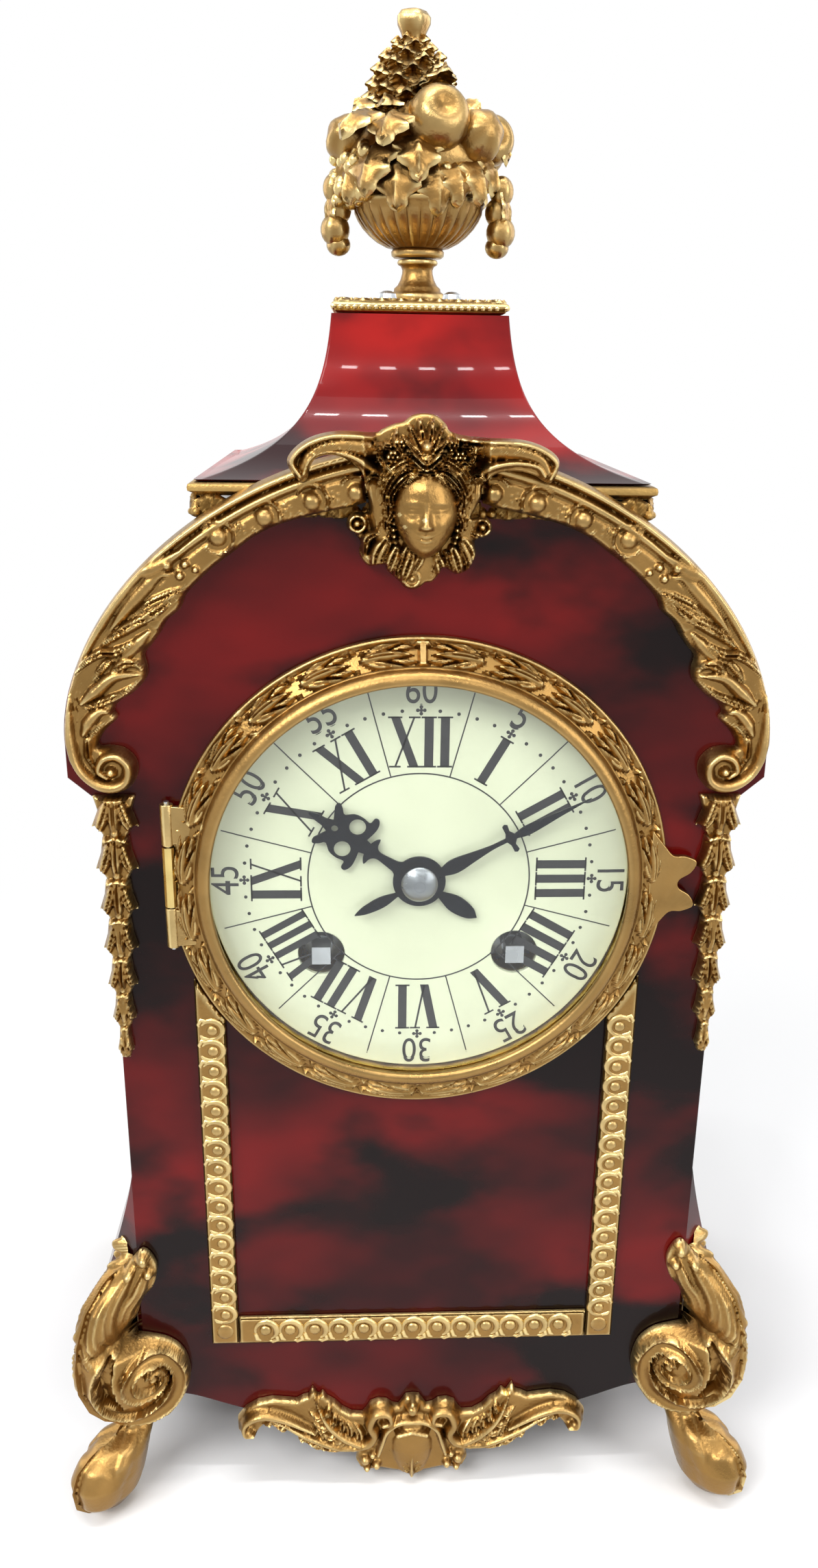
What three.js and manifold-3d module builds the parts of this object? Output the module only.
// Bracket clock: arched case with a pagoda roof, gilt mounts, glazed bezel and an eight-day striking
// movement. Millimetres, +Z up, front towards -Y, origin on the floor under the middle of the case.
import * as THREE from 'three';
import { mergeVertices } from 'three/addons/utils/BufferGeometryUtils.js';
import Module from 'manifold-3d';

const wasm = await Module();
wasm.setup();

// ---- driving dimensions -------------------------------------------------------------------------
const seat = 0.2;            // gap between two pieces fixed face to face
const running = 0.3;         // gap round a piece that turns
const caseDepth = 88;
const boardThickness = 6;
const wallThickness = 6;
const trunkHalf = 65;        // half width of the trunk
const hoodHalf = 71.9;       // half width of the hood at the springing of its arch
const hoodTop = 241.6;       // flat on the arch's crown that carries the roof
const footBlockHalf = 79;    // half width where the sides splay out to the feet
const caseBottom = 23;
const apronDrop = 3;         // how far the front board hangs below the sides
const splayLow = 42;
const splayHigh = 90;
const shoulderLow = 180;
const shoulderHigh = 185.7;
const springing = 194;       // height where the hood's arch begins
const archRise = 56;
const archPower = 1.83;      // fullness of the arch, 2 is an ellipse
const bandHalf = 45;
const bandBottom = 236;
const bandTop = 242.6;
const edgeHeight = 1.6;
const roofHeight = 31;
const roofTopHalf = 17;
const roofSoftness = 8.2;
const capHalf = 18;
const capThickness = 2.7;
const dialZ = 163;           // height of the dial's centre
const dialRadius = 44.4;
const dialThickness = 1.4;
const dialSet = 0.8;         // how far the dial's face lies behind the front board's face
const sightRadius = 43.4;
const bezelRadius = 52.5;
const bezelHeight = 6.9;
const glassThickness = 1.6;
const sleeveWall = 0.9;      // brass sleeves that line the two round openings
const flangeThickness = 1.1;
const flangeRadius = 50.2;
const openingRadius = 46;
const hingeRadius = 1.4;
const hingePinRadius = 0.6;
const hingeReach = 52;       // distance of the bezel's hinge from the dial's centre
const bezelHingeZ = dialZ + 1.8;
const knuckleHalf = 15.9;
const middleKnuckleHalf = 6.8;
const minuteAngle = 62;      // hands at rest, degrees clockwise from twelve
const hourAngle = -56;
const windingX = 20.9;
const windingZ = -17.2;
const windingHole = 5;
const plateRadius = 43;
const plateThickness = 2;
const frontPlateY = -34;     // front face of the movement's front plate
const plateSpace = 28;
const pendulumLength = 110;
const pendulumY = 4;
const bobRadius = 17;
const bellRadius = 31;
const bellDepth = 15;
const mountThickness = 4.4;
const stripWidth = 6.3;
const stripThickness = 1.7;
const frameHalf = 48.3;
const frameBottom = 43.1;
const footInset = 3;

// ---- sizes worked out from them -----------------------------------------------------------------
const frontY = -caseDepth / 2;
const backY = caseDepth / 2;
const innerFront = frontY + boardThickness;
const innerBack = backY - boardThickness;
const innerHalf = trunkHalf - wallThickness;
const sleeveInner = dialRadius + 0.4;
const sleeveOuter = sleeveInner + sleeveWall;
const hingeY = frontY - 1.8;
const dialFace = frontY + dialSet;
const backPlateY = frontPlateY + plateThickness + plateSpace;
const edgeTop = bandTop + edgeHeight;
const roofTop = edgeTop + roofHeight;
const capBottom = roofTop + seat;
const finialBase = capBottom + capThickness + seat;

// ---- materials ----------------------------------------------------------------------------------
const finish = (color, roughness, metalness) =>
  new THREE.MeshStandardMaterial({ color, roughness, metalness });
const shell = finish(0x6a0f10, 0.12, 0);
const ebony = finish(0x1a1110, 0.4, 0);
const gilt = finish(0xc08a3c, 0.35, 1);
const brass = finish(0xb8964f, 0.3, 1);
const steel = finish(0x9a9da0, 0.3, 1);
const blued = finish(0x14181f, 0.3, 0.9);
const enamel = finish(0xe9eadb, 0.15, 0);
const glass = new THREE.MeshStandardMaterial({
  color: 0xdfe8e4, roughness: 0.02, transparent: true, opacity: 0.25,
});

// ---- solids -------------------------------------------------------------------------------------
const rad = THREE.MathUtils.degToRad;

function flipped(index) {
  const out = new Uint32Array(index.length);
  for (let i = 0; i < index.length; i += 3) out.set([index[i], index[i + 2], index[i + 1]], i);
  return out;
}

function signedVolume(points, index) {
  const [a, b, c] = [new THREE.Vector3(), new THREE.Vector3(), new THREE.Vector3()];
  let sum = 0;
  for (let i = 0; i < index.length; i += 3) {
    a.fromArray(points, index[i] * 3);
    b.fromArray(points, index[i + 1] * 3);
    c.fromArray(points, index[i + 2] * 3);
    sum += a.dot(b.cross(c));
  }
  return sum;
}

function solid(geometry) {
  const bare = geometry.clone();
  bare.deleteAttribute('normal');
  bare.deleteAttribute('uv');
  const merged = mergeVertices(bare, 1e-4);
  const points = new Float32Array(merged.attributes.position.array);
  let index = new Uint32Array(merged.index.array);
  if (signedVolume(points, index) < 0) index = flipped(index);
  return new wasm.Manifold(new wasm.Mesh({ numProp: 3, vertProperties: points, triVerts: index }));
}

const fuse = (...solids) => solids.reduce((sum, next) => sum.add(next));

function cut(body, ...tools) {
  return tools.reduce((left, tool) => left.subtract(tool), body);
}

function piece(name, body, material) {
  const mesh = body.getMesh();
  const geometry = new THREE.BufferGeometry();
  geometry.setAttribute('position', new THREE.BufferAttribute(new Float32Array(mesh.vertProperties), 3));
  geometry.setIndex(new THREE.BufferAttribute(new Uint32Array(mesh.triVerts), 1));
  geometry.computeVertexNormals();
  const part = new THREE.Mesh(geometry, material);
  part.name = name;
  return part;
}

const outline = (points) => new THREE.Shape(points.map(([x, z]) => new THREE.Vector2(x, z)));
const mirroredX = (points) => [...points, ...points.map(([x, z]) => [-x, z]).reverse()];
const mirror = (body) => body.mirror([1, 0, 0]);

// A plate whose outline lies in the XZ plane, between two depths.
function plateXZ(shape, yFront, yBack, curveSegments = 24) {
  const depth = yBack - yFront;
  const geometry = new THREE.ExtrudeGeometry(shape, { depth, bevelEnabled: false, curveSegments });
  geometry.rotateX(Math.PI / 2);
  geometry.translate(0, yBack, 0);
  return solid(geometry);
}

// A plate whose outline lies in the YZ plane, between two widths.
function plateYZ(points, xLow, xHigh) {
  const geometry = new THREE.ExtrudeGeometry(outline(points), { depth: xHigh - xLow, bevelEnabled: false });
  geometry.applyMatrix4(new THREE.Matrix4().set(0, 0, 1, xLow, 1, 0, 0, 0, 0, 1, 0, 0, 0, 0, 0, 1));
  return solid(geometry);
}

function box(xLow, xHigh, yLow, yHigh, zLow, zHigh) {
  const geometry = new THREE.BoxGeometry(xHigh - xLow, yHigh - yLow, zHigh - zLow);
  geometry.translate((xLow + xHigh) / 2, (yLow + yHigh) / 2, (zLow + zHigh) / 2);
  return solid(geometry);
}

// Turned about a line along Y through (x, z); the profile is a list of [radius, y].
function turnedY(profile, segments, x = 0, z = 0) {
  const geometry = new THREE.LatheGeometry(profile.map(([r, y]) => new THREE.Vector2(r, y)), segments);
  geometry.translate(x, 0, z);
  return solid(geometry);
}

// Turned about the clock's upright axis; the profile is a list of [radius, z].
function turnedZ(profile, segments, x = 0, y = 0) {
  const geometry = new THREE.LatheGeometry(profile.map(([r, z]) => new THREE.Vector2(r, z)), segments);
  geometry.rotateX(Math.PI / 2);
  geometry.translate(x, y, 0);
  return solid(geometry);
}

const rodY = (radius, yLow, yHigh, x, z, segments = 16) =>
  turnedY([[0, yLow], [radius, yLow], [radius, yHigh], [0, yHigh]], segments, x, z);
const rodZ = (radius, zLow, zHigh, x, y, segments = 16) =>
  turnedZ([[0, zLow], [radius, zLow], [radius, zHigh], [0, zHigh]], segments, x, y);
const ringY = (inner, outer, yLow, yHigh, x, z, segments = 40) =>
  turnedY([[inner, yLow], [outer, yLow], [outer, yHigh], [inner, yHigh], [inner, yLow]], segments, x, z);

function ball(rx, ry, rz, x, y, z, segments = 12) {
  const geometry = new THREE.SphereGeometry(1, segments, Math.round(segments * 0.7));
  geometry.scale(rx, ry, rz);
  geometry.translate(x, y, z);
  return solid(geometry);
}

// ---- case ---------------------------------------------------------------------------------------
const spread = (count, from, to) =>
  Array.from({ length: count }, (_, i) => from + ((to - from) * i) / (count - 1));

// Right half of an arch from its springing to its crown.
function archHalf(half, rise, foot, count) {
  return spread(count, 0, 90).map((degrees) => {
    const side = Math.cos(rad(degrees)) ** (2 / archPower);
    const height = Math.sin(rad(degrees)) ** (2 / archPower);
    return [half * side, foot + rise * height];
  });
}

// Right half of the hood, from springing to the middle of its flat top, set in all round by a margin.
function hoodArch(margin, count) {
  const half = hoodHalf - margin;
  const rise = archRise - margin;
  const top = hoodTop - margin;
  const corner = half * (1 - ((top - springing) / rise) ** archPower) ** (1 / archPower);
  const curve = archHalf(half, rise, springing, count).filter(([, z]) => z < top - 0.5);
  return [...curve, [corner, top], [0.001, top]];
}

function splayHalf(z) {
  const share = THREE.MathUtils.clamp((z - splayLow) / (splayHigh - splayLow), 0, 1);
  return trunkHalf + (footBlockHalf - trunkHalf) * (1 - share) ** 1.15;
}

const caseSide = [
  [footBlockHalf - 2, caseBottom],
  ...spread(7, splayLow, splayHigh).map((z) => [splayHalf(z), z]),
  [trunkHalf, shoulderLow],
  [trunkHalf + (hoodHalf - trunkHalf) * 0.35, shoulderLow + 1.8],
  [hoodHalf, shoulderHigh],
  ...hoodArch(0, 17),
];
const apronHalf = [
  [0, caseBottom - apronDrop], [30, caseBottom - apronDrop], [41, caseBottom - 1.2], [50, caseBottom + 2.2],
  [57, caseBottom + 4], [60, caseBottom + 0.5],
];

function caseOutline(bottom) {
  const right = [...bottom, ...caseSide];
  const left = right.filter(([x]) => x > 0.01).map(([x, z]) => [-x, z]).reverse();
  return outline([...right, ...left]);
}

// The corners under the splay are canted from the front and back edges of the trunk.
function cornerCuts() {
  const reach = footBlockHalf - trunkHalf + 6;
  const cuts = [];
  for (const side of [-1, 1]) {
    for (const [y, inward] of [[frontY, 1], [backY, -1]]) {
      const start = trunkHalf + 0.02;
      const corner = outline([
        [side * start, y - inward], [side * (start + reach), y - inward],
        [side * (start + reach), y + inward * reach], [side * start, y],
      ]);
      const prism = new THREE.ExtrudeGeometry(corner, { depth: splayHigh + 2, bevelEnabled: false });
      cuts.push(solid(prism));
    }
  }
  return cuts;
}

function caseShell() {
  const half = trunkHalf - wallThickness;
  const inside = [[half, 0], [half, shoulderLow], [hoodHalf - wallThickness, shoulderHigh + 2],
    ...hoodArch(wallThickness, 15)];
  const left = inside.slice(0, -1).map(([x, z]) => [-x, z]).reverse();
  const hollow = plateXZ(outline([...inside, ...left]), innerFront - 1, innerBack + 1);
  const body = plateXZ(caseOutline([]), innerFront + seat, innerBack - seat);
  return cut(body, hollow, ...cornerCuts());
}

function frontPanel() {
  const opening = rodY(openingRadius, frontY - 1, innerFront + 1, 0, dialZ, 48);
  return cut(plateXZ(caseOutline(apronHalf), frontY, innerFront), opening, ...cornerCuts());
}

function backPanel() {
  const opening = rodY(openingRadius, innerBack - 1, backY + 1, 0, dialZ, 48);
  return cut(plateXZ(caseOutline([]), innerBack, backY), opening, ...cornerCuts());
}

function baseBoard() {
  const half = innerHalf - seat;
  return box(-half, half, innerFront + seat, innerBack - seat, caseBottom + 6, caseBottom + 12);
}

function roofBand() {
  const outer = box(-bandHalf + 0.4, bandHalf - 0.4, -43.6, 43.6, bandBottom - 12, bandTop);
  const edge = box(-bandHalf, bandHalf, -43.9, 43.9, bandTop - 0.01, edgeTop);
  const under = plateXZ(outline(mirroredX(hoodArch(-seat, 17))), frontY - 1, backY + 1);
  return cut(fuse(outer, edge), under);
}

// A square pagoda roof that curves in from its eaves to the cap.
function roof() {
  const eaves = bandHalf - 1.2;
  const levels = spread(10, 0, 1).map((share) => {
    const rise = roofHeight * share ** 1.7;
    const half = roofTopHalf + (eaves - roofTopHalf) * Math.exp(-((rise / roofSoftness) ** 0.9));
    return [half, edgeTop + seat + rise * (1 - seat / roofHeight)];
  });
  const points = levels.flatMap(([half, z]) =>
    [-half, -half, z, half, -half, z, half, half, z, -half, half, z]);
  const faces = [0, 2, 1, 0, 3, 2];
  for (let level = 0; level < levels.length - 1; level += 1) {
    for (let side = 0; side < 4; side += 1) {
      const low = level * 4 + side;
      const next = level * 4 + ((side + 1) % 4);
      faces.push(low, next, next + 4, low, next + 4, low + 4);
    }
  }
  const top = (levels.length - 1) * 4;
  faces.push(top, top + 1, top + 2, top, top + 2, top + 3);
  const geometry = new THREE.BufferGeometry();
  geometry.setAttribute('position', new THREE.Float32BufferAttribute(points, 3));
  geometry.setIndex(faces);
  return solid(geometry);
}

const capScrewX = 6.6;
const capScrewY = -12;
function capPlate() {
  const top = capBottom + capThickness;
  const plate = box(-capHalf, capHalf, -capHalf, capHalf, capBottom, top);
  const holes = [-capScrewX, capScrewX].map((x) => rodZ(1.2, capBottom - 1, top + 1, x, capScrewY, 12));
  return cut(plate, ...holes);
}

function capScrew(x) {
  const top = capBottom + capThickness;
  const head = turnedZ([[0, top + seat], [2, top + seat], [1.8, top + 1.1], [0.9, top + 1.6], [0, top + 1.7]],
    14, x, capScrewY);
  return fuse(head, rodZ(0.9, capBottom + 0.1, top + 0.5, x, capScrewY, 10));
}

// ---- finial -------------------------------------------------------------------------------------
const bowlBase = finialBase + 8.4;
const bowlRim = bowlBase + 11;
const heapZ = bowlRim + 8.5;

function finialStem() {
  const z = finialBase;
  return turnedZ([[0, z], [5.9, z], [5.9, z + 1.6], [4.8, z + 2.7], [3.7, z + 4.2], [3.2, z + 6],
    [4.2, z + 7.2], [4.2, bowlBase - seat], [0, bowlBase - seat]], 20);
}

function finialBowl() {
  const z = bowlBase;
  return turnedZ([[0, z], [5.6, z], [5.6, z + 1.5], [8.6, z + 3], [11.6, z + 5.6], [13.3, z + 8.4],
    [13.9, bowlRim - 0.6], [13.2, bowlRim], [0, bowlRim]], 24);
}

function finialFruit() {
  const heap = ball(17.5, 15, 9, 0, 0, heapZ, 14);
  const cone = turnedZ([[0, heapZ], [8, heapZ], [7.6, heapZ + 8], [6.2, heapZ + 14], [3.4, heapZ + 19.6],
    [2.4, heapZ + 21.6], [3.4, heapZ + 23.6], [2.6, heapZ + 25.8], [0, heapZ + 26.2]], 14, -1.2, 0);
  const round = spread(8, 0, 315).map((degrees, i) => {
    const angle = rad(degrees + 20);
    const size = 5 + (i % 2);
    return ball(size, size, size * 0.9, 15 * Math.cos(angle), 12 * Math.sin(angle),
      heapZ - 2.4 + 3 * (i % 2), 8);
  });
  const apple = ball(5.8, 5.6, 5.8, 3.2, -12.4, heapZ + 4.4, 10);
  const drops = [-1, 1].map((side) => ball(3.8, 4, 8.5, side * 17, -1.5, heapZ - 11.2, 8));
  const base = rodZ(12.6, bowlRim + seat, heapZ, 0, 0, 24);
  const under = box(-13.9, 13.9, -20, 20, bowlRim - 20, bowlRim + seat);
  return cut(fuse(heap, cone, ...round, apple, ...drops, base), under);
}

// ---- gilt mounts on the case --------------------------------------------------------------------
const mountBack = frontY - seat;
const mountFront = mountBack - mountThickness;
const archOuterHalf = 71.4;
const archOuterRise = 58;
const maskHalf = 10;
const scrollX = 62.2;
const scrollZ = dialZ + 25.2;
const scrollRadius = 4.7;

// Inner edge of the arch moulding from the mask to the tail, with two leaf tips at the haunch.
const archInner = [
  [11.1, 78], [14.3, 77], [19.4, 76], [24.6, 74.7], [28.5, 73.4], [32.4, 71.5], [36.4, 68.6], [40, 66],
  [43.4, 63], [46.1, 60.1], [49.6, 56.4], [52, 53.8], [54.5, 50.8], [56, 47.4], [54.7, 44.7], [61.2, 38.5],
  [60.7, 36.4], [62.9, 34.3], [64.7, 31.8], [65, 30.1], [62.6, 28.2],
];

// One half of the arch moulding, ending at its foot in a curled scroll.
function archMount() {
  const outer = archHalf(archOuterHalf, archOuterRise, springing, 19).filter(([x]) => x > maskHalf + 1);
  const tail = [[62.6, 20.8], [67.2, 22.5], [69.1, 24.3], [70.7, 27.2]].map(([x, z]) => [x, z + dialZ]);
  const inner = archInner.map(([x, z]) => [x, z + dialZ]);
  const body = plateXZ(outline([...tail, ...outer, ...inner]), mountFront, mountBack);
  return fuse(body, rodY(scrollRadius, mountFront - 0.6, mountBack, scrollX, scrollZ, 20));
}

function maskMount() {
  const z = dialZ;
  const wingFront = mountFront - seat - 4;
  const collar = mirroredX([[0.001, z + 61.2], [1.8, z + 61.7], [2.7, z + 63.4], [3.6, z + 65.2],
    [6.7, z + 64.6], [8.9, z + 65.8], [10.3, z + 68.2], [10.2, z + 70.6], [12.4, z + 71.4], [13.6, z + 73.6],
    [12.8, z + 75.6], [11.2, z + 76.4], [9.4, z + 76.4], [9.4, z + 79]]);
  const crown = [[9.4, z + 76], [9.6, z + 90], [4.8, z + 91.6], [3.2, z + 93.4], [0.001, z + 94.1]];
  const wing = [[9, z + 80], [11.4, z + 82.6], [14, z + 84], [18, z + 84.2], [20.6, z + 83.4], [22, z + 82.2],
    [24, z + 83.4], [25.2, z + 85.9], [23.6, z + 88], [18.7, z + 89.6], [13.7, z + 90.3], [9, z + 90]];
  const low = plateXZ(outline(collar), mountBack - 3, mountBack);
  const block = plateXZ(outline(mirroredX(crown)), wingFront, mountBack);
  const right = plateXZ(outline(wing), wingFront, mountFront - seat);
  const head = ball(7.6, 8.2, 10.4, 0, mountBack - 4.6, z + 76.8, 18);
  const behind = box(-40, 40, mountBack, frontY + 20, z + 50, z + 110);
  return cut(fuse(low, block, right, mirror(right), head), behind);
}

// A drop of husks, each bell wider at its mouth, shrinking downwards.
function huskDrop() {
  const top = dialZ + 19.3;
  const centre = 62.6;
  const bells = [[4.8, 9], [4.4, 9.5], [4, 9], [3.7, 9], [3.2, 8.4], [2.6, 8], [1.8, 7.8]];
  const right = [];
  let z = top;
  bells.forEach(([half, height], i) => {
    right.push([half * (i === 0 ? 0.9 : 0.6), z], [half, z - height * 0.72],
      [half * 0.62, z - height + 0.01]);
    z -= height;
  });
  const left = [...right].reverse().map(([x, height]) => [-x, height]);
  const points = [...right, ...left].map(([x, height]) => [centre + (top - height) * 0.02 + x, height]);
  return plateXZ(outline(points), mountBack - 4, mountBack);
}

// Scroll foot: one outline seen from the front and from the side, so it wraps the canted corner.
const footOutline = [
  [-1, 71], [2.8, 66.9], [9.4, 64], [13.7, 58.6], [16, 51.2], [16.8, 44.6], [16.6, 38], [14.5, 31],
  [11.3, 25.6], [7.4, 22.6], [6.6, 20], [9.4, 20.6], [14.4, 19.4], [18.2, 15.4], [19.9, 10.8], [18.8, 5.4],
  [16.4, 1.8], [13.8, 0], [10.6, 0], [8, 1.4], [5.2, 5.2], [2.2, 13.2], [-1.1, 20.2], [-4.4, 22.2],
  [-6.2, 26], [-9.4, 30.6], [-10.4, 36], [-8.8, 41.6], [-5.6, 44.6], [-1.6, 45.6], [3, 44.2], [4.8, 42.4],
  [5.6, 38.8], [5, 33.6], [4.4, 31], [6.8, 30.6], [8.6, 34.6], [9, 39.6], [6.8, 48.4], [1.2, 52.6],
  [-0.4, 57.6], [-3.2, 61.6], [-3.9, 67],
];

function footSolid(keepOut) {
  const corner = trunkHalf - 0.6;
  const front = plateXZ(outline(footOutline.map(([u, z]) => [corner + u, z])), frontY - 28, frontY + 16);
  const side = plateYZ(footOutline.map(([u, z]) => [frontY + footInset - u, z]), corner - 16, corner + 28);
  return cut(front.intersect(side), keepOut);
}

// The case's corner grown by the seating gap.
function cornerKeepOut() {
  const grown = caseSide.map(([x, z]) => [x + seat, z]).slice(0, 9);
  const edge = outline([[40, 0], [footBlockHalf - 2, 0], ...grown, [40, shoulderLow]]);
  const block = plateXZ(edge, frontY - seat, 0);
  const reach = footBlockHalf;
  const start = trunkHalf + seat * 0.6;
  const canted = outline([[start, frontY - seat - 1], [start + reach, frontY - seat - 1],
    [start + reach, frontY + reach], [start, frontY - seat]]);
  return cut(block, solid(new THREE.ExtrudeGeometry(canted, { depth: splayHigh + 2, bevelEnabled: false })));
}

function foot() {
  const parts = footSolid(cornerKeepOut()).decompose();
  return parts.reduce((best, next) => (next.volume() > best.volume() ? next : best));
}

function apronMount() {
  const z = caseBottom - 23;   // the heights below are those of a case whose bottom stands at 23
  const right = [[0.001, 26.2], [2.5, 25.8], [4.5, 22.8], [7, 21.6], [10.5, 23.8], [14, 21.4], [16.5, 20.4],
    [19.8, 24.4], [24.3, 28.4], [26.8, 24.6], [31.8, 26.2], [37.5, 25.4], [41.5, 22.8], [43.2, 18.8],
    [41.6, 15], [38.8, 16.6], [36.3, 19.6], [31.8, 17.8], [26.1, 13.8], [21.4, 10], [14.5, 10.4], [14, 5],
    [12, 3.4], [7.5, 3.8], [4, 3.2], [0.001, 2.4]].map(([x, height]) => [x, height + z]);
  return plateXZ(outline(mirroredX(right)), mountFront, mountBack);
}

const stripFront = mountBack - stripThickness;
const bezelClear = rodY(bezelRadius + running, frontY - 20, frontY + 1, 0, dialZ, 48);

function panelStripSide() {
  const strip = box(frameHalf - stripWidth, frameHalf, stripFront, mountBack, frameBottom, dialZ - 15);
  return cut(strip, bezelClear);
}

function panelStripBottom() {
  const half = frameHalf - stripWidth - seat;
  return box(-half, half, stripFront, mountBack, frameBottom, frameBottom + 7.4);
}

// ---- dial, sleeve, bezel ------------------------------------------------------------------------
// Knuckles of a hinge whose pin runs upright through (x, y).
function knuckle(x, y, zLow, zHigh) {
  return rodZ(hingeRadius, zLow, zHigh, x, y, 12);
}
const pinHole = (x, y) => rodZ(hingePinRadius + 0.1, 0, 400, x, y, 12);
const hingeX = -hingeReach;

function dialRing() {
  const flange = ringY(sleeveInner, flangeRadius, frontY - seat - flangeThickness, frontY - seat, 0, dialZ);
  const sleeve = ringY(sleeveInner, sleeveOuter, frontY - seat - 0.5, frontY + 14, 0, dialZ);
  const half = middleKnuckleHalf - seat;
  const ear = box(hingeX, -flangeRadius + 1.2, frontY - seat - flangeThickness, frontY - seat,
    bezelHingeZ - half, bezelHingeZ + half);
  const barrel = knuckle(hingeX, hingeY, bezelHingeZ - half, bezelHingeZ + half);
  return cut(fuse(flange, sleeve, ear, barrel), pinHole(hingeX, hingeY));
}

const bezelBack = frontY - seat - flangeThickness - seat;
const glassBack = frontY - bezelHeight + 1.2 + glassThickness;
const rebate = dialRadius + 0.6;

function bezel() {
  const lip = frontY - bezelHeight + 1.2;
  const section = [
    [52.5, 0.4], [52.5, 1.2], [52.1, 2], [51.6, 2.5], [50.9, 2.8], [50.3, 2.7], [49, 3.8], [47.6, 4.8],
    [46.2, 5.3], [45.7, 5], [45.2, 6], [44.6, 6.8], [44, bezelHeight],
    [sightRadius, 6.3], [sightRadius, frontY - lip],
    [rebate, frontY - lip], [rebate, frontY - bezelBack], [flangeRadius + 0.7, frontY - bezelBack],
    [flangeRadius + 0.7, 0.4], [52.5, 0.4],
  ].map(([r, proud]) => [r * (bezelRadius / 52.5), frontY - proud]);
  const ring = turnedY(section, 48, 0, dialZ);
  const notch = fuse(
    box(-60, -flangeRadius + 1.2 + running, frontY - seat - flangeThickness - running, frontY,
      bezelHingeZ - middleKnuckleHalf, bezelHingeZ + middleKnuckleHalf),
    rodZ(hingeRadius + running, bezelHingeZ - middleKnuckleHalf, bezelHingeZ + middleKnuckleHalf,
      hingeX, hingeY),
  );
  const ears = [-1, 1].flatMap((side) => {
    const near = bezelHingeZ + side * (middleKnuckleHalf + seat);
    const far = bezelHingeZ + side * knuckleHalf;
    const [low, high] = [Math.min(near, far), Math.max(near, far)];
    return [box(hingeX, -rebate - 0.6, bezelBack - 1.3, bezelBack, low, high),
      knuckle(hingeX, hingeY, low, high)];
  });
  const hollow = rodY(rebate, lip, frontY + 1, 0, dialZ, 48);
  const lug = plateXZ(outline([[48, dialZ + 12], [53, dialZ + 7], [58.6, dialZ + 4.8], [54.8, dialZ],
    [58.6, dialZ - 4.8], [53, dialZ - 7], [48, dialZ - 12]]), bezelBack - 1.6, bezelBack);
  const outside = cut(fuse(ring, ...ears, lug), notch, pinHole(hingeX, hingeY));
  return cut(outside, hollow);
}

function bezelGlass() {
  const back = glassBack - seat;
  const front = back - glassThickness + 0.4;
  const edge = rebate - seat;
  const section = [[0, back], [edge, back], [edge, front + 0.5], [edge - 3.6, front], [0, front]];
  return turnedY(section, 48, 0, dialZ);
}

function hingePin(x, y, z) {
  return rodZ(hingePinRadius, z - knuckleHalf - 0.6, z + knuckleHalf + 0.6, x, y, 12);
}

const windingHoles = (radius, yLow, yHigh) =>
  [-windingX, windingX].map((x) => rodY(radius, yLow, yHigh, x, dialZ + windingZ, 20));

function dial() {
  const centre = rodY(3.4, dialFace - 1, dialFace + 4, 0, dialZ, 20);
  const disc = rodY(dialRadius, dialFace, dialFace + dialThickness, 0, dialZ, 48);
  return cut(disc, centre, ...windingHoles(windingHole, dialFace - 1, dialFace + 4));
}

function dialPan() {
  const front = dialFace + dialThickness + seat;
  const centre = rodY(3.6, front - 1, front + 9, 0, dialZ, 20);
  const disc = rodY(dialRadius, front, front + 1, 0, dialZ, 48);
  const feet = [45, 165, 285].map((degrees) =>
    rodY(1.2, front + 0.5, frontPlateY - seat, 38 * Math.cos(rad(degrees)),
      dialZ + 38 * Math.sin(rad(degrees)), 10));
  return cut(fuse(disc, ...feet), centre, ...windingHoles(windingHole + 0.3, front - 1, front + 3));
}

// ---- hands --------------------------------------------------------------------------------------
const arborRadius = 1;
const cannonRadius = 1.6;
const pipeInner = cannonRadius + 0.2;
const pipeOuter = 2.6;
const hourHandY = dialFace - 1.5;
const minuteHandY = hourHandY - 1.2;
const handThickness = 0.7;
const arborTip = minuteHandY - 1.9;

function turnedHand(points, degrees) {
  const angle = rad(degrees);
  return points.map(([x, z]) => [x * Math.cos(angle) + z * Math.sin(angle),
    dialZ - x * Math.sin(angle) + z * Math.cos(angle)]);
}

function hand(half, degrees, boss, bore, y, holes) {
  const shape = outline(turnedHand(mirroredX(half), degrees));
  holes.forEach(([x, z, radius]) => {
    const [[cx, cz]] = turnedHand([[x, z]], degrees);
    const ring = spread(9, 0, 360).slice(0, -1).map((a) =>
      new THREE.Vector2(cx + radius * Math.cos(rad(a)), cz + radius * Math.sin(rad(a))));
    shape.holes.push(new THREE.Path(ring));
  });
  const blade = plateXZ(shape, y, y + handThickness);
  const hub = rodY(boss, y, y + handThickness, 0, dialZ, 24);
  return cut(fuse(blade, hub), rodY(bore, y - 1, y + 2, 0, dialZ, 20));
}

const minuteHalf = [[0.001, -15.5], [0.9, -13], [1.1, -10], [0.5, -5.5], [0.6, 0], [0.9, 6], [1.1, 11],
  [0.5, 17], [0.5, 20.6], [3.1, 21.2], [3.2, 22], [0.6, 22.6], [0.9, 25], [0.5, 33], [0.001, 40]];
const hourHalf = [[0.001, -15], [1.2, -13], [1.8, -9.5], [1, -5], [1.3, 0], [2, 6.4], [1, 9.4], [0.9, 10.6],
  [3.2, 12], [1.4, 13], [1.6, 14.4], [6.4, 14.2], [6.6, 15.4], [4.9, 16.4], [5.4, 19.4], [3.6, 21.6],
  [5.3, 23.4], [3.4, 23.6], [1.4, 22.8], [0.8, 25], [0.001, 28]];

const minuteHand = () => hand(minuteHalf, minuteAngle, 4.2, cannonRadius + running, minuteHandY, []);
const hourHand = () => hand(hourHalf, hourAngle, 5.6, pipeOuter + seat, hourHandY,
  [[2.9, 17.6, 1.7], [-2.9, 17.6, 1.7], [0, 20.8, 0.7]]);

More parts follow.
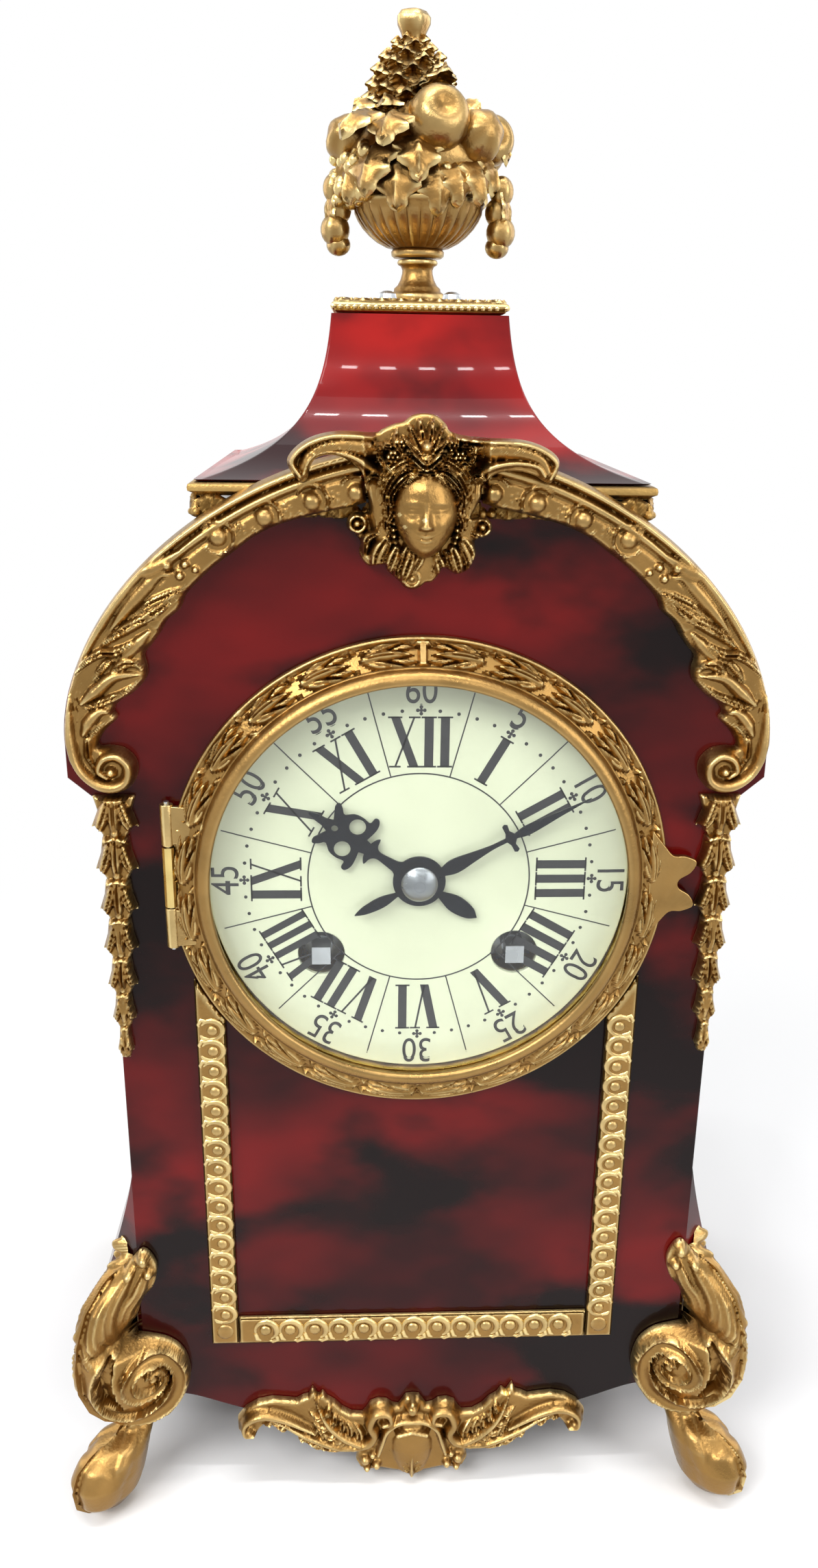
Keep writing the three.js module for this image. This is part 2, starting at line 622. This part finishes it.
function handCollet() {
  const back = minuteHandY - seat;
  return turnedY([[arborRadius + 0.2, back], [3.9, back], [3.7, back - 0.4], [2.2, back - 0.8],
    [arborRadius + 0.2, back - 0.9], [arborRadius + 0.2, back]], 24, 0, dialZ);
}

// ---- wheels -------------------------------------------------------------------------------------
// Positions in the movement are [x, z] from the dial's centre; angles run from +X towards +Z.
const at = ([x, z]) => [x, dialZ + z];
const distance = ([ax, az], [bx, bz]) => Math.hypot(ax - bx, az - bz);
const bearing = ([ax, az], [bx, bz]) => Math.atan2(bz - az, bx - ax);

// The point at given distances from two others, on the left of the line from the first to the second.
function meeting(first, second, fromFirst, fromSecond) {
  const span = distance(first, second);
  const along = (fromFirst ** 2 - fromSecond ** 2 + span ** 2) / (2 * span);
  const off = Math.sqrt(fromFirst ** 2 - along ** 2);
  const angle = bearing(first, second);
  return [first[0] + along * Math.cos(angle) - off * Math.sin(angle),
    first[1] + along * Math.sin(angle) + off * Math.cos(angle)];
}

// Toothed disc with pointed teeth that leave backlash on both flanks.
function gear(centre, teeth, module, phase, yLow, yHigh) {
  const [cx, cz] = at(centre);
  const pitch = (teeth * module) / 2;
  const tip = pitch + module * 0.75;
  const root = pitch - module * 1.15;
  const points = [];
  for (let i = 0; i < teeth; i += 1) {
    const peak = phase + (2 * Math.PI * i) / teeth;
    const dip = peak + Math.PI / teeth;
    points.push([cx + tip * Math.cos(peak), cz + tip * Math.sin(peak)],
      [cx + root * Math.cos(dip), cz + root * Math.sin(dip)]);
  }
  return plateXZ(outline(points), yLow, yHigh);
}

// Phase that puts a driven wheel's gap opposite the driver's tooth.
function meshPhase(driver, driverTeeth, driverPhase, driven, drivenTeeth) {
  const line = bearing(driver, driven);
  const share = ((line - driverPhase) * driverTeeth) / (2 * Math.PI);
  const past = share - Math.floor(share);
  return line + Math.PI + (2 * Math.PI * past + Math.PI) / drivenTeeth;
}

const centre = [0, 0];
const goingBarrelAt = [windingX, windingZ];
const strikeBarrelAt = [-windingX, windingZ];
const greatTeeth = 60;
const greatModule = 0.62;
const leaves = 10;
const secondTeeth = 60;
const strikeTeeth = 48;
const trainModule = 0.5;
const centreTeeth = 56;
const thirdLeaves = 8;
const thirdTeeth = 54;
const thirdModule = 0.42;
const escapeLeaves = 8;
const greatSpan = ((greatTeeth + leaves) * greatModule) / 2;
const secondSpan = ((secondTeeth + leaves) * trainModule) / 2;
const secondAt = meeting(centre, goingBarrelAt, secondSpan, greatSpan);
const strikeAt = [-secondAt[0], secondAt[1]];
const thirdSpan = ((centreTeeth + thirdLeaves) * trainModule) / 2;
const thirdAt = [thirdSpan * Math.cos(rad(110)), thirdSpan * Math.sin(rad(110))];
const escapeSpan = ((thirdTeeth + escapeLeaves) * thirdModule) / 2;
const escapeAt = [0, thirdAt[1] + Math.sqrt(escapeSpan ** 2 - thirdAt[0] ** 2)];
const escapeRadius = 7;
const anchorAt = [0, escapeAt[1] + 10.6];
const hammerAt = [-34.5, 14];

const innerPlateFront = frontPlateY + plateThickness;
const greatY = innerPlateFront + 2.6;
const greatWidth = 1.4;
const drumBack = innerPlateFront + 21;
const secondY = innerPlateFront + 22.6;
const centreY = innerPlateFront + 24.8;
const thirdY = innerPlateFront + 10;
const escapeY = innerPlateFront + 17;
const wheelWidth = 1.2;
const pinCircle = 9;         // lifting pins on the strike wheel
const pinRadius = 0.6;
const pivotRadius = 0.6;
const pivotHole = 0.9;
const plateInnerBack = innerPlateFront + plateSpace;

// An arbor between the plates with a pivot in each.
function arbor(place, radius = 1) {
  const [x, z] = at(place);
  const low = innerPlateFront + running;
  const high = plateInnerBack - running;
  const depth = plateThickness + running - 0.2;
  return turnedY([[0, low - depth], [pivotRadius, low - depth], [pivotRadius, low], [radius, low],
    [radius, high], [pivotRadius, high], [pivotRadius, high + depth], [0, high + depth]], 12, x, z);
}

const greatPhase = 0;
const secondPhase = meshPhase(goingBarrelAt, greatTeeth, greatPhase, secondAt, leaves);
const centrePhase = meshPhase(secondAt, secondTeeth, secondPhase, centre, leaves);
const thirdPhase = meshPhase(centre, centreTeeth, centrePhase, thirdAt, thirdLeaves);
const escapePhase = meshPhase(thirdAt, thirdTeeth, thirdPhase, escapeAt, escapeLeaves);
const strikePhase = meshPhase(strikeBarrelAt, greatTeeth, greatPhase, strikeAt, leaves);

const winderRadius = 2.4;
function barrel(place) {
  const [x, z] = at(place);
  const wheel = gear(place, greatTeeth, greatModule, greatPhase, greatY, greatY + greatWidth);
  const drum = rodY(16.6, greatY + 0.5, drumBack, x, z, 36);
  return cut(fuse(wheel, drum), rodY(winderRadius + running, greatY - 1, drumBack + 1, x, z, 16));
}

// Winding arbor: a round body through the barrel, a ratchet before the plate and a square for the key.
function winder(place) {
  const [x, z] = at(place);
  const body = turnedY([[0, frontPlateY - 5], [winderRadius, frontPlateY - 5], [winderRadius, drumBack + 2],
    [pivotRadius + 0.4, drumBack + 2], [pivotRadius + 0.4, plateInnerBack + 1.6],
    [0, plateInnerBack + 1.6]], 16, x, z);
  const ratchet = gear(place, 18, 0.6, 0, frontPlateY - 2, frontPlateY - 0.5);
  const square = box(x - 2, x + 2, dialFace - 1.2, frontPlateY - 4, z - 2, z + 2);
  return fuse(body, ratchet, square);
}

const minuteTeeth = 36;
const cannonTeeth = 12;
const hourTeeth = 40;
const motionModule = 0.5;
const motionSpan = ((minuteTeeth + cannonTeeth) * motionModule) / 2;
const hourModule = (2 * motionSpan) / (hourTeeth + leaves);
const minuteAt = [0, motionSpan];
const cannonPhase = 0;
const minutePhase = meshPhase(centre, cannonTeeth, cannonPhase, minuteAt, minuteTeeth);
const hourPhase = meshPhase(minuteAt, leaves, minutePhase, centre, hourTeeth);

function centreWheel() {
  const wheel = gear(centre, centreTeeth, trainModule, centrePhase, centreY, centreY + wheelWidth);
  const pinion = gear(centre, leaves, trainModule, centrePhase, secondY - 0.6, centreY + 0.2);
  const cannon = gear(centre, cannonTeeth, motionModule, cannonPhase, frontPlateY - 2.4, frontPlateY - 0.8);
  const tube = rodY(cannonRadius, minuteHandY - 0.2, frontPlateY - 0.8, 0, dialZ, 16);
  const tip = rodY(arborRadius, arborTip, plateInnerBack - running, 0, dialZ, 16);
  const pivot = rodY(pivotRadius, plateInnerBack - 1, plateInnerBack + plateThickness - 0.2, 0, dialZ, 12);
  return fuse(wheel, pinion, cannon, tube, tip, pivot);
}

function hourWheel() {
  const high = frontPlateY - 3.4;
  const wheel = gear(centre, hourTeeth, hourModule, hourPhase, high - 1.2, high);
  const pipe = rodY(pipeOuter, hourHandY - 0.1, high, 0, dialZ, 20);
  return cut(fuse(wheel, pipe), rodY(pipeInner, hourHandY - 2, high + 1, 0, dialZ, 20));
}

function minuteWheel() {
  const [x, z] = at(minuteAt);
  const wheel = gear(minuteAt, minuteTeeth, motionModule, minutePhase, frontPlateY - 2.2, frontPlateY - 1);
  const pinion = gear(minuteAt, leaves, hourModule, minutePhase, frontPlateY - 4.8, frontPlateY - 2.1);
  return fuse(wheel, pinion, rodY(pivotRadius, frontPlateY - 5.2, frontPlateY + 1.4, x, z, 12));
}

function secondWheel() {
  const pinion = gear(secondAt, leaves, greatModule, secondPhase, greatY - 0.4, greatY + greatWidth + 0.4);
  const wheel = gear(secondAt, secondTeeth, trainModule, secondPhase, secondY, secondY + wheelWidth);
  return fuse(arbor(secondAt), pinion, wheel);
}

function thirdWheel() {
  const pinion = gear(thirdAt, thirdLeaves, trainModule, thirdPhase, centreY - 0.3,
    centreY + wheelWidth + 0.3);
  const wheel = gear(thirdAt, thirdTeeth, thirdModule, thirdPhase, thirdY, thirdY + wheelWidth);
  return fuse(arbor(thirdAt), pinion, wheel);
}

function escapeWheel() {
  const pinion = gear(escapeAt, escapeLeaves, thirdModule, escapePhase, thirdY - 0.4,
    thirdY + wheelWidth + 0.4);
  const wheel = gear(escapeAt, 30, (2 * escapeRadius) / 31.5, escapePhase, escapeY, escapeY + wheelWidth);
  return fuse(arbor(escapeAt, 0.9), pinion, wheel);
}

function strikeWheel() {
  const pinion = gear(strikeAt, leaves, greatModule, strikePhase, greatY - 0.4, greatY + greatWidth + 0.4);
  const wheel = gear(strikeAt, strikeTeeth, trainModule, strikePhase, secondY, secondY + wheelWidth);
  const [x, z] = at(strikeAt);
  const pins = spread(9, 0, 320).map((degrees) =>
    rodY(pinRadius, secondY - 1.4, secondY + 0.4, x + pinCircle * Math.cos(rad(degrees)),
      z + pinCircle * Math.sin(rad(degrees)), 8));
  return fuse(arbor(strikeAt), pinion, wheel, ...pins);
}

// ---- movement frame, pendulum, bell -------------------------------------------------------------
const pillarAngles = [5, 52, 128, 175, 270];
const strapX = sleeveOuter + running;

function plateDisc(yLow, holes) {
  const disc = rodY(plateRadius, yLow, yLow + plateThickness, 0, dialZ, 48);
  const drills = holes.map(([place, radius]) => {
    const [x, z] = at(place);
    return rodY(radius, yLow - 1, yLow + plateThickness + 1, x, z, 10);
  });
  return cut(disc, ...drills);
}

const trainHoles = [secondAt, thirdAt, escapeAt, strikeAt, anchorAt, hammerAt].map((place) =>
  [place, pivotHole]);

function frontPlate() {
  const winders = [goingBarrelAt, strikeBarrelAt].map((place) => [place, winderRadius + running]);
  const plate = plateDisc(frontPlateY, [...trainHoles, ...winders, [centre, arborRadius + running],
    [minuteAt, pivotHole]]);
  const pillars = pillarAngles.map((degrees) => {
    const [x, z] = at([38.4 * Math.cos(rad(degrees)), 38.4 * Math.sin(rad(degrees))]);
    return rodY(2.4, frontPlateY + 1, plateInnerBack - seat, x, z, 12);
  });
  return fuse(plate, ...pillars);
}

function backPlate() {
  const winders = [goingBarrelAt, strikeBarrelAt].map((place) => [place, pivotRadius + 0.4 + running]);
  const wide = trainHoles.map(([place, radius]) =>
    [place, place === anchorAt || place === hammerAt ? 1.6 : radius]);
  return plateDisc(backPlateY, [...wide, ...winders, [centre, pivotHole]]);
}

const suspensionRadius = 0.9;
function suspensionCock() {
  const [x, z] = at(anchorAt);
  const back = backPlateY + plateThickness + seat;
  const foot = box(x + 3, x + 10, back, back + 1.4, z - 5, z + 3);
  const bridge = box(x - 1.2, x + 10, back + 1.2, pendulumY + 3.4, z + 2.9, z + 5);
  const cheek = box(x - 1.2, x + 1.2, pendulumY + 2, pendulumY + 3.4, z - 1.4, z + 3);
  const pin = rodY(suspensionRadius, pendulumY - 1.5, pendulumY + 2.4, x, z, 12);
  return fuse(foot, bridge, cheek, pin);
}

function palletAnchor() {
  const [x, z] = at(anchorAt);
  const [, wheelZ] = at(escapeAt);
  const reach = escapeRadius + 1.15;
  const tips = [40, 140].map((degrees) =>
    [x + reach * Math.cos(rad(degrees)), wheelZ + reach * Math.sin(rad(degrees))]);
  const [right, left] = tips;
  const arms = outline([[left[0] - 1.2, left[1] - 0.2], left, [x, z - 1.6], right,
    [right[0] + 1.2, right[1] - 0.2], [x + 4.4, z + 0.6], [x, z + 1.8], [x - 4.4, z + 0.6]]);
  const pallets = plateXZ(arms, escapeY, escapeY + wheelWidth);
  const low = innerPlateFront + running;
  const spindle = rodY(0.9, low, pendulumY - 2.6, x, z, 12);
  const pivot = rodY(pivotRadius, innerPlateFront - 1.6, low + 0.5, x, z, 10);
  const crutch = box(x - 0.9, x + 0.9, pendulumY - 3.8, pendulumY - 2.8, z - 26, z);
  const bar = box(x - 3.2, x + 3.2, pendulumY - 3.8, pendulumY - 2.8, z - 28, z - 25.6);
  const fork = [-1, 1].map((side) => box(Math.min(side * 1.5, side * 3.2), Math.max(side * 1.5, side * 3.2),
    pendulumY - 3.8, pendulumY + 1.4, z - 28, z - 25.6));
  return fuse(pallets, spindle, pivot, crutch, bar, ...fork);
}

function pendulumRod() {
  const [x, z] = at(anchorAt);
  const inner = suspensionRadius + running;
  const loop = ringY(inner, inner + 1.2, pendulumY - 0.8, pendulumY + 0.8, x, z, 16);
  const bottom = z - pendulumLength;
  const rod = rodZ(1, bottom - bobRadius - 5, z - suspensionRadius - running - 0.4, x, pendulumY, 12);
  const nut = rodZ(2.6, bottom - bobRadius - 3.4, bottom - bobRadius - 1, x, pendulumY, 12);
  return fuse(loop, rod, nut);
}

function pendulumBob() {
  const [x, z] = at(anchorAt);
  const height = z - pendulumLength;
  const lens = turnedY([[0, pendulumY - 4.4], [bobRadius * 0.55, pendulumY - 3.4],
    [bobRadius, pendulumY - 0.5], [bobRadius, pendulumY + 0.5],
    [bobRadius * 0.55, pendulumY + 3.4], [0, pendulumY + 4.4]], 36, x, height);
  return cut(lens, rodZ(1 + seat, height - bobRadius - 1, height + bobRadius + 1, x, pendulumY, 12));
}

const bellBack = 30;
const bellWall = 1.2;
function bell() {
  const front = bellBack - bellDepth;
  const section = [[2.2, bellBack], [14, bellBack - 0.6], [25, bellBack - 4], [29.6, bellBack - 9],
    [bellRadius, front], [bellRadius - bellWall, front],
    [29.6 - bellWall, bellBack - 9.2], [24.4, bellBack - 5],
    [14, bellBack - 0.6 - bellWall], [2.2, bellBack - bellWall], [2.2, bellBack]];
  return turnedY(section, 28, 0, dialZ);
}

const standAt = [15, -35];
function bellStand() {
  const [x, z] = at(standAt);
  const rear = bellBack + seat + 2;
  const post = rodY(1.8, backPlateY + plateThickness + seat, rear + 1, x, z, 12);
  const length = Math.hypot(x, z - dialZ);
  const arm = new THREE.BoxGeometry(length, 1.6, 4);
  arm.rotateY(-Math.atan2(dialZ - z, -x));
  arm.translate(x / 2, rear + 0.2, (z + dialZ) / 2);
  const nut = rodY(4.4, bellBack + seat, rear + 2.2, 0, dialZ, 6);
  const stud = rodY(1.8, bellBack - 4, bellBack + 1, 0, dialZ, 12);
  const washer = rodY(4, bellBack - bellWall - seat - 1.4, bellBack - bellWall - seat, 0, dialZ, 16);
  return fuse(post, solid(arm), nut, stud, washer);
}

// Hammer: an arbor through the plates, a lifting tail between them and a head outside the bell.
const hammerHeadAngle = 140;
const hammerGap = 0.8;
function hammer() {
  const [x, z] = at(hammerAt);
  const strikeY = bellBack - bellDepth + 3.2;
  const reach = bellRadius + hammerGap + 2.6;
  const headAt = [reach * Math.cos(rad(hammerHeadAngle)), reach * Math.sin(rad(hammerHeadAngle))];
  const [hx, hz] = at(headAt);
  const low = innerPlateFront + running;
  const spindle = rodY(1.2, low, strikeY + 1.5, x, z, 12);
  const pivot = rodY(pivotRadius, innerPlateFront - 1.6, low + 0.5, x, z, 10);
  const span = Math.hypot(hx - x, hz - z);
  const stem = new THREE.BoxGeometry(span, 1.6, 2);
  stem.rotateY(-Math.atan2(hz - z, hx - x));
  stem.translate((x + hx) / 2, strikeY, (z + hz) / 2);
  const head = ball(2.6, 3.4, 2.6, hx, strikeY, hz, 14);
  const [wx, wz] = at(strikeAt);
  const away = Math.hypot(wx - x, wz - z);
  const tailLength = away - pinCircle - pinRadius - running;
  const tail = new THREE.BoxGeometry(tailLength, 1.1, 1.8);
  tail.translate(tailLength / 2, 0, 0);
  tail.rotateY(-Math.atan2(wz - z, wx - x));
  tail.translate(x, secondY - 0.75, z);
  return fuse(spindle, pivot, solid(stem), head, solid(tail));
}

function strap(side) {
  const low = Math.min(side * strapX, side * (strapX + 1.2));
  const high = Math.max(side * strapX, side * (strapX + 1.2));
  return box(low, high, innerFront + 0.3, innerBack - 0.3, dialZ - 4.5, dialZ + 4.5);
}

// ---- back ring and door -------------------------------------------------------------------------
const doorHingeX = 52;
const doorHingeY = backY + 1.8;
const doorRadius = 48.6;
const doorBack = backY + seat + flangeThickness + seat;

function backRing() {
  const flange = ringY(sleeveInner, flangeRadius, backY + seat, backY + seat + flangeThickness, 0, dialZ);
  const sleeve = ringY(sleeveInner, sleeveOuter, backY - 14, backY + seat + 0.5, 0, dialZ);
  const half = middleKnuckleHalf - seat;
  const ear = box(flangeRadius - 1.2, doorHingeX, backY + seat, backY + seat + flangeThickness,
    dialZ - half, dialZ + half);
  const barrel = knuckle(doorHingeX, doorHingeY, dialZ - half, dialZ + half);
  return cut(fuse(flange, sleeve, ear, barrel), pinHole(doorHingeX, doorHingeY));
}

function backDoor() {
  const disc = turnedY([[0, doorBack], [doorRadius, doorBack], [doorRadius, doorBack + 1],
    [doorRadius - 0.6, doorBack + 2], [doorRadius - 3, doorBack + 2],
    [doorRadius - 3.6, doorBack + 1.2], [0, doorBack + 1.2]], 48, 0, dialZ);
  const ears = [-1, 1].flatMap((side) => {
    const near = dialZ + side * (middleKnuckleHalf + seat);
    const far = dialZ + side * knuckleHalf;
    const [low, high] = [Math.min(near, far), Math.max(near, far)];
    return [box(doorRadius - 5, doorHingeX, doorBack, doorBack + 1.2, low, high),
      knuckle(doorHingeX, doorHingeY, low, high)];
  });
  const notch = rodZ(hingeRadius + running, dialZ - middleKnuckleHalf, dialZ + middleKnuckleHalf,
    doorHingeX, doorHingeY);
  const knobHole = rodY(1.6, doorBack - 1, doorBack + 3, -doorRadius + 8, dialZ, 12);
  return cut(fuse(disc, ...ears), notch, pinHole(doorHingeX, doorHingeY), knobHole);
}

function doorKnob() {
  const y = doorBack + 1.2 + seat;
  return turnedY([[0, doorBack + 0.2], [1.3, doorBack + 0.2], [1.3, y], [3, y], [2.2, y + 1.4],
    [1.8, y + 2.6], [3.4, y + 4], [3.6, y + 5.2], [2.6, y + 6.2], [0, y + 6.6]], 16, -doorRadius + 8, dialZ);
}

// ---- assembly -----------------------------------------------------------------------------------
const clock = new THREE.Group();
const add = (name, body, material) => clock.add(piece(name, body, material));

add('case_shell', caseShell(), shell);
add('front_panel', frontPanel(), shell);
add('back_panel', backPanel(), ebony);
add('base_board', baseBoard(), ebony);
add('roof_band', roofBand(), gilt);
add('roof', roof(), shell);
add('cap_plate', capPlate(), gilt);
add('cap_screw_left', capScrew(-capScrewX), steel);
add('cap_screw_right', capScrew(capScrewX), steel);
add('finial_stem', finialStem(), gilt);
add('finial_bowl', finialBowl(), gilt);
add('finial_fruit', finialFruit(), gilt);

const archRight = archMount();
add('arch_mount_right', archRight, gilt);
add('arch_mount_left', mirror(archRight), gilt);
add('mask_mount', maskMount(), gilt);
const huskRight = huskDrop();
add('husk_right', huskRight, gilt);
add('husk_left', mirror(huskRight), gilt);
const frontFoot = foot();
const backFoot = frontFoot.mirror([0, 1, 0]);
add('foot_front_right', frontFoot, gilt);
add('foot_front_left', mirror(frontFoot), gilt);
add('foot_back_right', backFoot, gilt);
add('foot_back_left', mirror(backFoot), gilt);
add('apron_mount', apronMount(), gilt);
const stripRight = panelStripSide();
add('panel_strip_right', stripRight, gilt);
add('panel_strip_left', mirror(stripRight), gilt);
add('panel_strip_bottom', panelStripBottom(), gilt);

add('dial_ring', dialRing(), brass);
add('dial', dial(), enamel);
add('dial_pan', dialPan(), brass);
add('bezel', bezel(), gilt);
add('bezel_glass', bezelGlass(), glass);
add('bezel_hinge_pin', hingePin(hingeX, hingeY, bezelHingeZ), steel);
add('minute_hand', minuteHand(), blued);
add('hour_hand', hourHand(), blued);
add('hand_collet', handCollet(), steel);

add('front_plate', frontPlate(), brass);
add('back_plate', backPlate(), brass);
add('going_barrel', barrel(goingBarrelAt), brass);
add('strike_barrel', barrel(strikeBarrelAt), brass);
add('going_winder', winder(goingBarrelAt), steel);
add('strike_winder', winder(strikeBarrelAt), steel);
add('centre_wheel', centreWheel(), brass);
add('minute_wheel', minuteWheel(), brass);
add('hour_wheel', hourWheel(), brass);
add('second_wheel', secondWheel(), brass);
add('third_wheel', thirdWheel(), brass);
add('escape_wheel', escapeWheel(), brass);
add('strike_wheel', strikeWheel(), brass);
add('pallet_anchor', palletAnchor(), steel);
add('suspension_cock', suspensionCock(), brass);
add('pendulum_rod', pendulumRod(), steel);
add('pendulum_bob', pendulumBob(), brass);
add('bell_stand', bellStand(), steel);
add('bell', bell(), brass);
add('hammer', hammer(), steel);
add('strap_left', strap(-1), steel);
add('strap_right', strap(1), steel);
add('back_ring', backRing(), brass);
add('back_door', backDoor(), brass);
add('door_knob', doorKnob(), brass);
add('door_hinge_pin', hingePin(doorHingeX, doorHingeY, dialZ), steel);

export default clock;
